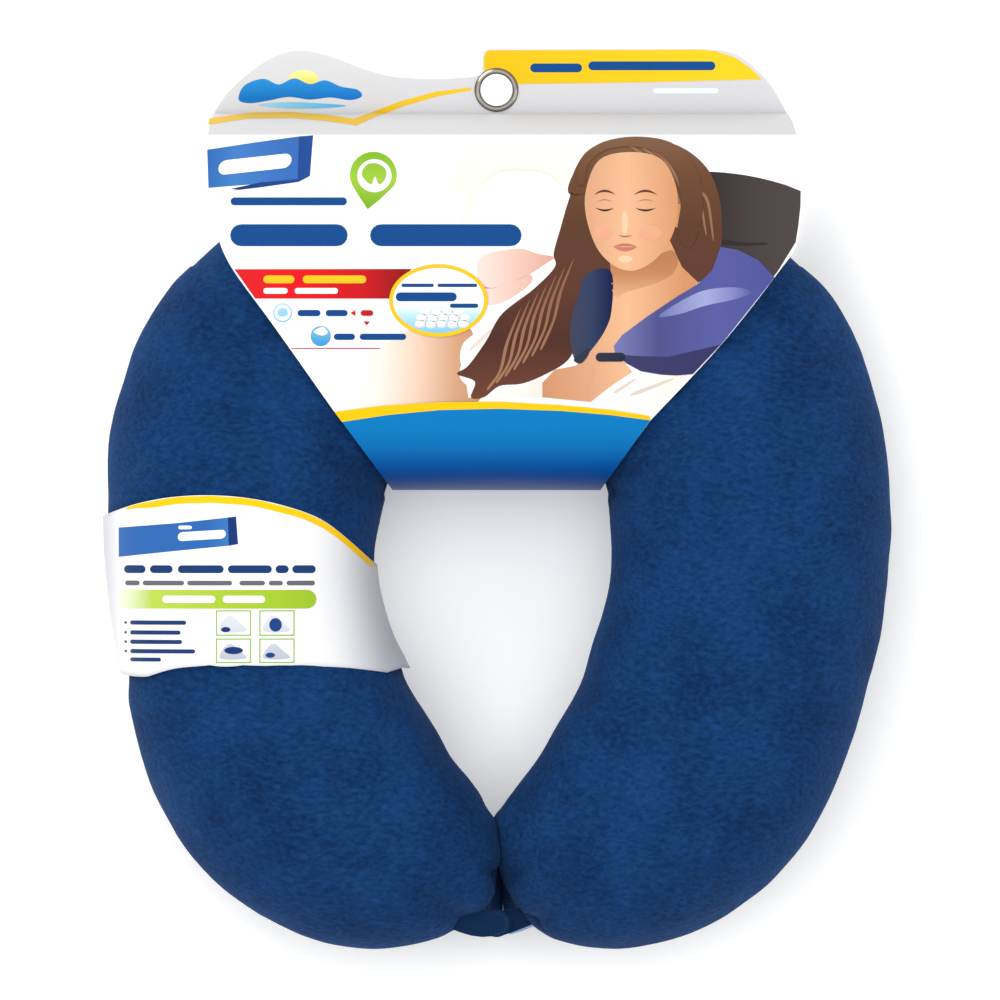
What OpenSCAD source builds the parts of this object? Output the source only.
/* [Pillow] */
// Width across both arms
pillow_w = 305; // [280:1:320]
// Thickness of a stuffed arm
arm_t = 96; // [92:1:104]
// Thickness of the arch, squeezed by the header card
arch_t = 83; // [82:0.5:83]
// Radius of the arch's centre line
arch_r = 100; // [98:0.5:101]
// Half width of the tube at the top of the arch
arch_half_w = 53; // [50:0.5:53]
// Radius of the arms' centre lines, which bend inwards to the tips
arm_r = 174; // [170:1:178]
// Roundness of the tube's section, where 2 is an ellipse
roundness = 2.2; // [2:0.1:2.4]
// Gap between the two tips
tip_gap = 0.4; // [0.3:0.1:1]
// How much deeper the arms' undersides would hang if nothing pressed them flat
arm_sag = 1.06; // [1.05:0.01:1.08]

/* [Cloth] */
// Thickness of the plush front cover and the spandex back cover
cover_t = 2.4; // [1.5:0.1:3]
// Thickness of the liner bag that holds the beads
liner_t = 0.8; // [0.6:0.1:1]
// Air between two layers of cloth
layer_gap = 0.2; // [0.1:0.05:0.3]
// How much the paper sleeve squeezes the arm
sleeve_dent = 2; // [1.8:0.1:2.4]

/* [Header card] */
// Thickness of the printed card
card_t = 0.5; // [0.4:0.1:0.6]
// Half height of the loop that the card makes round the arch
card_loop_h = 43.6; // [43.5:0.1:44]
// Place of the fold that passes through the neck hole
card_fold_y = 3.5; // [0:0.5:5]
// Place where the front and rear panels meet above the arch
card_meet_y = 148.3; // [148:0.1:148.5]
// Radius of the hole for the eyelet
card_hole_r = 6.9; // [6.8:0.1:7.2]

/* [Eyelet] */
// Bore of the metal eyelet
eyelet_r = 6.2; // [6:0.1:6.4]
// Radius of the eyelet's flange and of its washer
eyelet_flange_r = 8.5; // [8:0.1:9]
// Centre of the eyelet along the card
eyelet_y = 157.3; // [157:0.1:158]

/* [Snap tabs] */
// Width of each snap tab
tab_w = 10.5; // [10:0.5:11]
// Thickness of each snap tab
tab_t = 3; // [2.6:0.1:3.2]
// Radius of the press snap
snap_r = 4; // [3.5:0.1:4.2]
// Clearance between the stud and the socket at rest
snap_gap = 0.4; // [0.3:0.1:0.6]

/* [Joints] */
// Gap between the arch's end faces and the arms' end faces
split_gap = 0.4; // [0.3:0.1:1]

/* [Hidden] */
$fn = 48;
mid_z = arm_t / 2;
plush = [0.09, 0.23, 0.42];
spandex = [0.07, 0.16, 0.34];
cotton = [0.85, 0.85, 0.82];
beads = [0.96, 0.96, 0.96];
nickel = [0.75, 0.76, 0.78];

// The tube's centre line runs clockwise from the top of the arch by an angle:
// an arc about the neck up to 90 degrees, then a flatter arc down to the tip.
arch_c_y = -7.2;
arm_half_w = pillow_w / 2 - arch_r;
tip_outer_w = 57.5;
tip_inner_w = 57;
arch_swell = 4.5;
swell_from_deg = 86;
swell_to_deg = 104;
waist_deg = 120;
tip_deg = 150.8;
outer_cap_deg = 29;
inner_cap_deg = 48;
height_cap_deg = 30;
last_share = 0.985;
level_deg = 48;
full_height_deg = 84;
sag_from_deg = 68;
tube_sides = 20;
arch_steps = 10;
arm_steps = 18;

function smooth(a) = let (c = min(1, max(0, a))) c * c * (3 - 2 * c);
function mix(a, b, k) = a + (b - a) * k;
function sign_pow(v, p) = sign(v) * pow(abs(v), p);
function cap(share, p) = pow(1 - pow(min(1, max(0, share)), p), 1 / p);

function normal(t) = [sin(t), cos(t)];
function centre(t) =
  t <= 90 ? [0, arch_c_y] + arch_r * normal(t)
          : [arch_r - arm_r, arch_c_y] + arm_r * normal(t);
function half_w(t, tip_from, tip_w) =
  t <= 90 ? mix(arch_half_w, arm_half_w, smooth(abs(t) / level_deg))
          : mix(arm_half_w, tip_w, smooth((t - tip_from) / (tip_deg - tip_from)));
// The arch bulges into the neck hole a little more than the arms do.
function swell(t) =
  arch_swell * (1 - smooth((abs(t) - swell_from_deg) / (swell_to_deg - swell_from_deg)));

// An inset of d millimetres is the surface that lies d inside the cloth.
function inset_deg(d) = d / arm_r * 180 / PI;
function tip_at(d) = tip_deg - inset_deg(d);
function last_t(d) = tip_at(d) - (1 - last_share) * outer_cap_deg;

// The paper sleeve wraps the left arm. Its two edges slant across the arm, so
// each edge's place depends on c: 1 on the outer side, 0 on top, -1 in the hole.
sleeve_top = [90, 85.5, 99];
sleeve_low = [104.8, 109.5, 119];
dent_margin_deg = 8;
function by_side(three, c) =
  c > 0 ? mix(three[1], three[0], c * c) : mix(three[1], three[2], c * c);
function squeeze(t, c, dent) =
  dent * smooth((min(t - by_side(sleeve_top, c), by_side(sleeve_low, c) - t) + dent_margin_deg) / 3);

// An arm's underside sags onto the surface below it, which presses it flat.
function sag(t) =
  mix(1, arm_sag, smooth((abs(t) - sag_from_deg) / (full_height_deg - sag_from_deg)));
function outer_w(t, d) =
  (half_w(t, 90, tip_outer_w) - d)
  * cap((t - tip_at(d) + outer_cap_deg) / outer_cap_deg, 1.7);
function inner_w(t, d) =
  (half_w(t, waist_deg, tip_inner_w) + swell(t) - d)
  * cap((t - tip_at(d) + inner_cap_deg) / inner_cap_deg, 3.4);
function arm_share(t) = smooth((abs(t) - level_deg) / (full_height_deg - level_deg));
function height(t, d) =
  (mix(arch_t, arm_t, arm_share(t)) / 2 - d)
  * cap((t - tip_at(d) + height_cap_deg) / height_cap_deg, 2.2);

// The cut between arch and arm is an upright plane, from the hinge on the outer
// edge to the neck hole. The plane faces cut_face_deg, and cut_offset is its
// distance from the centre of the arch.
cut_face_deg = 125.7;
cut_offset = 33.2;
cut_fade_steps = 6;
function cut_t(radius, side) =
  cut_face_deg - acos((cut_offset + side * split_gap / 2) / radius);

function tube_point(t, q, d, dent) =
  let (
    c = sign_pow(cos(q), 2 / roundness),
    s = squeeze(t, c, dent),
    u = c * (c > 0 ? outer_w(t, d + s) : inner_w(t, d + s)),
    v = height(t, d + s) * sign_pow(sin(q), 2 / roundness) * (sin(q) < 0 ? sag(t) : 1),
    p = centre(t) + u * normal(t),
    x = t > 90 ? max(p[0], tip_gap / 2 + d) : p[0])
  [x, p[1], max(d + s, mid_z + v)];

// How far from the arch's centre a point of the tube's wall lies at the cut.
function cut_radius(q, d) =
  arch_r + (arm_half_w + (cos(q) > 0 ? 0 : arch_swell) - d) * sign_pow(cos(q), 2 / roundness);

// Stations along the arch and along the right arm. They start on the cut and
// turn square to the centre line away from it.
function arch_t_at(k, q, d) = (2 * k / arch_steps - 1) * cut_t(cut_radius(q, d), -1);
function square_t(k, d) = mix(cut_t(arch_r, 1), last_t(d), sin(90 * k / arm_steps));
function arm_t_at(k, q, d) =
  mix(cut_t(cut_radius(q, d), 1), square_t(k, d), smooth(k / cut_fade_steps));

function ring_angles(from, to, sides) = [for (j = [0:sides]) mix(from, to, j / sides)];
function arch_rings(d, from, to, sides) =
  [for (k = [0:arch_steps])
    [for (q = ring_angles(from, to, sides)) tube_point(arch_t_at(k, q, d), q, d, 0)]];
function arm_rings(d, dent, from, to, sides) =
  [for (k = [0:arm_steps])
    [for (q = ring_angles(from, to, sides)) tube_point(arm_t_at(k, q, d), q, d, dent)]];

function two_triangles(a, b, c, d) = [[a, b, c], [a, c, d]];
function flat_list(lists) = [for (l = lists) for (x = l) x];

// A skin over rings of equal length. Open rings are joined to a second, inner
// set of rings by a rim, which leaves a wall of cloth.
module wall(outer, inner, closed_end) {
  rows = len(outer);
  cols = len(outer[0]);
  n = rows * cols;
  function o(i, j) = i * cols + j;
  function p(i, j) = n + i * cols + j;
  skins = [for (i = [0:rows - 2]) for (j = [0:cols - 2]) each concat(
    two_triangles(o(i, j), o(i, j + 1), o(i + 1, j + 1), o(i + 1, j)),
    two_triangles(p(i, j), p(i + 1, j), p(i + 1, j + 1), p(i, j + 1)))];
  edges = [for (i = [0:rows - 2]) each concat(
    two_triangles(o(i, 0), o(i + 1, 0), p(i + 1, 0), p(i, 0)),
    two_triangles(o(i + 1, cols - 1), o(i, cols - 1), p(i, cols - 1), p(i + 1, cols - 1)))];
  start = [for (j = [0:cols - 2]) each
    two_triangles(o(0, j + 1), o(0, j), p(0, j), p(0, j + 1))];
  last = rows - 1;
  end_rim = [for (j = [0:cols - 2]) each
    two_triangles(o(last, j), o(last, j + 1), p(last, j + 1), p(last, j))];
  end_caps = concat(
    [for (j = [1:cols - 2]) [o(last, 0), o(last, j), o(last, j + 1)]],
    [for (j = [1:cols - 2]) [p(last, 0), p(last, j + 1), p(last, j)]],
    two_triangles(o(last, 0), o(last, cols - 1), p(last, cols - 1), p(last, 0)));
  polyhedron(
    concat(flat_list(outer), flat_list(inner)),
    concat(skins, edges, start, closed_end ? end_caps : end_rim));
}

// A closed tube of cloth, or with no inner rings a solid plug.
module tube(outer, inner, closed_end) {
  rows = len(outer);
  cols = len(outer[0]) - 1;
  n = rows * cols;
  last = rows - 1;
  hollow = len(inner) > 0;
  rings = [for (r = concat(outer, inner)) [for (j = [0:cols - 1]) r[j]]];
  function o(i, j) = i * cols + j % cols;
  function p(i, j) = n + i * cols + j % cols;
  outer_skin = [for (i = [0:rows - 2]) for (j = [0:cols - 1]) each
    two_triangles(o(i, j), o(i, j + 1), o(i + 1, j + 1), o(i + 1, j))];
  inner_skin = [for (i = [0:rows - 2]) for (j = [0:cols - 1]) each
    two_triangles(p(i, j), p(i + 1, j), p(i + 1, j + 1), p(i, j + 1))];
  start_rim = [for (j = [0:cols - 1]) each
    two_triangles(o(0, j + 1), o(0, j), p(0, j), p(0, j + 1))];
  end_rim = [for (j = [0:cols - 1]) each
    two_triangles(o(last, j), o(last, j + 1), p(last, j + 1), p(last, j))];
  start_cap = [for (j = [1:cols - 2]) [o(0, 0), o(0, j + 1), o(0, j)]];
  end_cap = [for (j = [1:cols - 2]) [o(last, 0), o(last, j), o(last, j + 1)]];
  inner_end_cap = [for (j = [1:cols - 2]) [p(last, 0), p(last, j + 1), p(last, j)]];
  polyhedron(
    flat_list(rings),
    hollow
      ? concat(outer_skin, inner_skin, start_rim, closed_end ? concat(end_cap, inner_end_cap) : end_rim)
      : concat(outer_skin, start_cap, end_cap));
}

liner_d = cover_t + layer_gap;
fill_d = liner_d + liner_t + layer_gap;
half_sides = tube_sides / 2;

module arch_half_cover(from, to) {
  wall(arch_rings(0, from, to, half_sides), arch_rings(cover_t, from, to, half_sides), false);
}

module arm_half_cover(dent, from, to) {
  wall(arm_rings(0, dent, from, to, half_sides), arm_rings(cover_t, dent, from, to, half_sides), true);
}

module arm_liner(dent) {
  tube(
    arm_rings(liner_d, dent, 0, 360, tube_sides),
    arm_rings(liner_d + liner_t, dent, 0, 360, tube_sides),
    true);
}

module arm_fill(dent) {
  tube(arm_rings(fill_d, dent, 0, 360, tube_sides), [], true);
}

module arch_front_cover() {
  color(plush) arch_half_cover(0, 180);
}

module arch_back_cover() {
  color(spandex) arch_half_cover(180, 360);
}

module arch_liner() {
  color(cotton)
    tube(
      arch_rings(liner_d, 0, 360, tube_sides),
      arch_rings(liner_d + liner_t, 0, 360, tube_sides),
      false);
}

module arch_bead_fill() {
  color(beads) tube(arch_rings(fill_d, 0, 360, tube_sides), [], false);
}

module left_front_cover() {
  color(plush) mirror([1, 0, 0]) arm_half_cover(sleeve_dent, 0, 180);
}

module left_back_cover() {
  color(spandex) mirror([1, 0, 0]) arm_half_cover(sleeve_dent, 180, 360);
}

module left_liner() {
  color(cotton) mirror([1, 0, 0]) arm_liner(sleeve_dent);
}

module left_bead_fill() {
  color(beads) mirror([1, 0, 0]) arm_fill(sleeve_dent);
}

module right_front_cover() {
  color(plush) arm_half_cover(0, 0, 180);
}

module right_back_cover() {
  color(spandex) arm_half_cover(0, 180, 360);
}

module right_liner() {
  color(cotton) arm_liner(0);
}

module right_bead_fill() {
  color(beads) arm_fill(0);
}

// The header card: one strip of card looped round the arch and joined above it.
card_flat_from = 62;
card_flat_to = 78;
card_nose_power = 2.5;
card_back_power = 2.5;
card_tab_top = 180;
card_steps = 12;
card_outline = [
  [-40, 3], [-62.4, 33.4], [-85.4, 66], [-101, 87.5], [-107, 100.6], [-109.3, 110],
  [-111.5, 126], [-110, 145.8], [-105.8, 153.5], [-98.9, 161], [-88, 169], [-77.3, 172.6],
  [-66, 170.5], [-50, 164], [-31, 161.2], [-9.4, 162], [-5.2, 172.8], [81.6, 173.2],
  [95.8, 169], [104.3, 161], [110, 152], [115, 140.7], [117.2, 120], [115, 97],
  [86.2, 58.8], [59.3, 30], [40, 3]];

function card_half_h(y, d) =
  let (
    h = card_loop_h - d,
    nose = (card_flat_from - y) / (card_flat_from - card_fold_y - d),
    back = (y - card_flat_to) / (card_meet_y - card_flat_to - d))
  h * (y < card_flat_from ? cap(nose, card_nose_power) : cap(back, card_back_power));

nose_ys = [for (k = [0:card_steps]) card_flat_from - (card_flat_from - card_fold_y) * cos(90 * k / card_steps)];
back_ys = [for (k = [0:card_steps]) card_flat_to + (card_meet_y - card_flat_to) * sin(90 * k / card_steps)];

// One side of the loop, from the fold to where the panels meet, inset by d.
function card_side(d, up) =
  [for (y = concat(nose_ys, back_ys))
    let (inset_y = min(max(y, card_fold_y + d), card_meet_y - d))
    [inset_y, mid_z + up * card_half_h(inset_y, d)]];
function without_ends(list) = [for (k = [len(list) - 2:-1:1]) list[k]];
function without_last(list) = [for (k = [0:len(list) - 2]) list[k]];

module card_section() {
  difference() {
    polygon(concat(
      without_last(card_side(0, 1)),
      [[card_meet_y, mid_z + card_t], [card_tab_top, mid_z + card_t]],
      [[card_tab_top, mid_z - card_t], [card_meet_y, mid_z - card_t]],
      without_ends(card_side(0, -1))));
    polygon(concat(card_side(card_t, 1), without_ends(card_side(card_t, -1))));
  }
}

module header_card() {
  span = 240;
  color("white")
    difference() {
      intersection() {
        translate([-span / 2, 0, 0])
          rotate([90, 0, 90])
            linear_extrude(span)
              card_section();
        linear_extrude(arm_t)
          polygon(card_outline);
      }
      translate([0, eyelet_y, mid_z - 2])
        cylinder(h = 4, r = card_hole_r);
    }
}

// The eyelet: a barrel with a domed front flange, rolled over a washer behind.
flange_t = 0.9;
washer_t = 0.5;
roll_t = 0.6;
barrel_wall = 0.5;

module eyelet() {
  barrel_r = eyelet_r + barrel_wall;
  front = card_t;
  back = -card_t - washer_t;
  color(nickel)
    translate([0, eyelet_y, mid_z])
      rotate_extrude()
        polygon([
          [eyelet_r, back - roll_t], [eyelet_r + 1.4, back - roll_t], [eyelet_r + 1.6, back],
          [barrel_r, back], [barrel_r, front], [eyelet_flange_r, front],
          [eyelet_flange_r - 0.3, front + flange_t * 0.7], [eyelet_flange_r - 1, front + flange_t],
          [eyelet_r + 0.5, front + flange_t], [eyelet_r, front + flange_t * 0.6]]);
}

module eyelet_washer() {
  color(nickel)
    translate([0, eyelet_y, mid_z - card_t - washer_t])
      difference() {
        cylinder(h = washer_t, r = eyelet_flange_r);
        translate([0, 0, -1])
          cylinder(h = washer_t + 2, r = eyelet_r + barrel_wall);
      }
}

// The paper sleeve lies in the dent that it makes in the left arm.
sleeve_t = 0.4;
sleeve_clear = 1.1;
sleeve_rows = 6;
sleeve_sides = 40;

function sleeve_ring(share, lift) =
  [for (j = [0:sleeve_sides])
    let (
      q = 360 * j / sleeve_sides,
      c = sign_pow(cos(q), 2 / roundness),
      t = mix(by_side(sleeve_top, c), by_side(sleeve_low, c), share))
    tube_point(t, q, -lift, 0)];

module paper_sleeve() {
  low = sleeve_clear - sleeve_dent;
  outer = [for (i = [0:sleeve_rows]) sleeve_ring(i / sleeve_rows, low + sleeve_t)];
  inner = [for (i = [0:sleeve_rows]) sleeve_ring(i / sleeve_rows, low)];
  color("whitesmoke") mirror([1, 0, 0]) tube(outer, inner, false);
}

// The snap tabs: the left one lies over the right one, and a press snap joins
// them between the two lobes. Each tab turns about the hem at its root.
snap_at = [0, -164];
root_high = [5.2, -161.3];
root_low = [14.2, -169.6];
left_tab_z = mid_z + 2.4;
right_tab_z = mid_z - 2.4 - tab_t;
snap_base_t = 0.6;
stud_h = left_tab_z - right_tab_z - tab_t - 1.6 - snap_gap;
stud_r = 1.8;
pocket_r = snap_r + 0.3;
pocket_t = 0.8;

module tab_shape(z) {
  hem = tab_t / 2;
  run = root_low - root_high;
  difference() {
    union() {
      translate([0, 0, z])
        linear_extrude(tab_t)
          hull() {
            translate(snap_at) circle(r = tab_w / 2);
            polygon([root_high, root_low, snap_at]);
          }
      translate([root_high[0], root_high[1], z + hem])
        rotate([0, 90, atan2(run[1], run[0])])
          cylinder(h = norm(run), r = hem);
    }
    translate([snap_at[0], snap_at[1], z + hem - pocket_t / 2])
      cylinder(h = pocket_t, r = pocket_r);
  }
}

module snap_disc(z, r, h) {
  translate([snap_at[0], snap_at[1], z]) cylinder(h = h, r = r);
}

module left_snap_tab() {
  color(spandex) mirror([1, 0, 0]) tab_shape(left_tab_z);
}

module snap_cap() {
  color(nickel) snap_disc(left_tab_z + tab_t / 2 - pocket_t / 2, snap_r, pocket_t);
}

module snap_socket() {
  socket_h = 1.6;
  color(nickel)
    difference() {
      snap_disc(left_tab_z - socket_h, snap_r, socket_h);
      snap_disc(left_tab_z - socket_h - 1, stud_r + 0.3, socket_h);
    }
}

module right_snap_tab() {
  color(spandex) tab_shape(right_tab_z);
}

module snap_post() {
  color(nickel) snap_disc(right_tab_z + tab_t / 2 - pocket_t / 2, snap_r, pocket_t);
}

module snap_stud() {
  color(nickel)
    union() {
      snap_disc(right_tab_z + tab_t, snap_r, snap_base_t);
      snap_disc(right_tab_z + tab_t, stud_r, stud_h);
    }
}

arch_front_cover();
arch_back_cover();
arch_liner();
arch_bead_fill();
left_front_cover();
left_back_cover();
left_liner();
left_bead_fill();
right_front_cover();
right_back_cover();
right_liner();
right_bead_fill();
header_card();
eyelet();
eyelet_washer();
paper_sleeve();
left_snap_tab();
snap_socket();
snap_cap();
right_snap_tab();
snap_stud();
snap_post();
